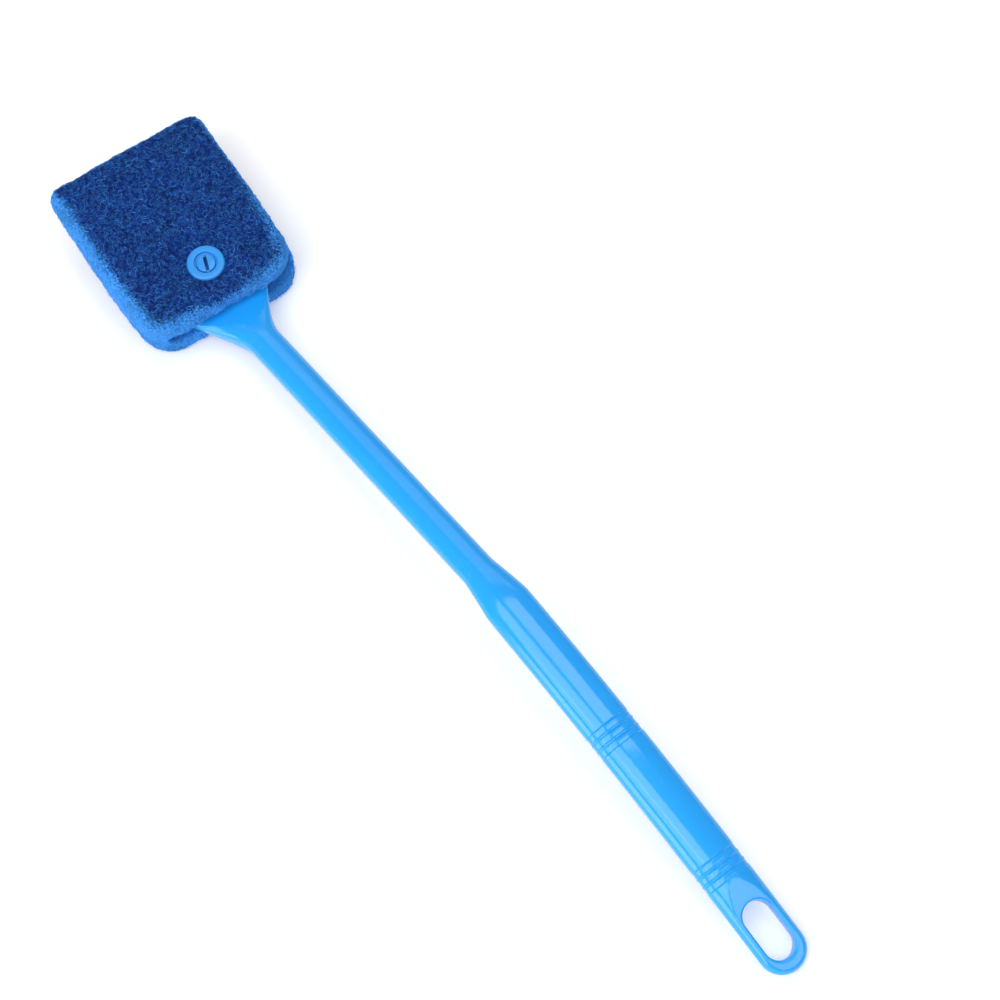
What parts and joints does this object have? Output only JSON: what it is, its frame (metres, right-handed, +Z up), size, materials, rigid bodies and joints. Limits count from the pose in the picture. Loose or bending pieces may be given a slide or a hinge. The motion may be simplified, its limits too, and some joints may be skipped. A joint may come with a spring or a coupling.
{
  "type": "algae scraper",
  "caption": "Long-handled fish-tank scrubber: a moulded handle with a hanging loop, and a folded fibre pad held on its paddle by a stud and collar.",
  "frame": {"origin": "middle of the bounding box, on the ground that the scraper lies on", "axes": "X runs along the handle towards the hanging loop, Y across it, Z up out of the front side"},
  "size_m": [0.4477, 0.0773, 0.0428],
  "materials": {
    "handle_plastic": "glossy moulded plastic, azure blue",
    "button_plastic": "satin moulded plastic, slightly greyer blue",
    "pad_fibre": "non-woven scouring fibre, navy on the coated faces and brighter blue on the cut edges"
  },
  "bodies": {
    "handle": {"handle": "handle_plastic"},
    "pad": {"scrub_pad": "pad_fibre"},
    "stud": {"stud": "button_plastic"},
    "collar": {"collar": "button_plastic"}
  },
  "joints": [
    {"name": "pad_swivel", "type": "hinge", "parent": "handle", "child": "pad", "pos_m": [-0.15518, 0, 0.01592], "axis": [0.1294, 0, 0.9916], "range_deg": [-3.5, 12.5]},
    {"name": "stud_push", "type": "slide", "parent": "handle", "child": "stud", "axis": [-0.1294, 0, -0.9916], "range_m": [0, 0.026]},
    {"name": "collar_lift", "type": "slide", "parent": "handle", "child": "collar", "axis": [0.1294, 0, 0.9916], "range_m": [0, 0.012]}
  ]
}
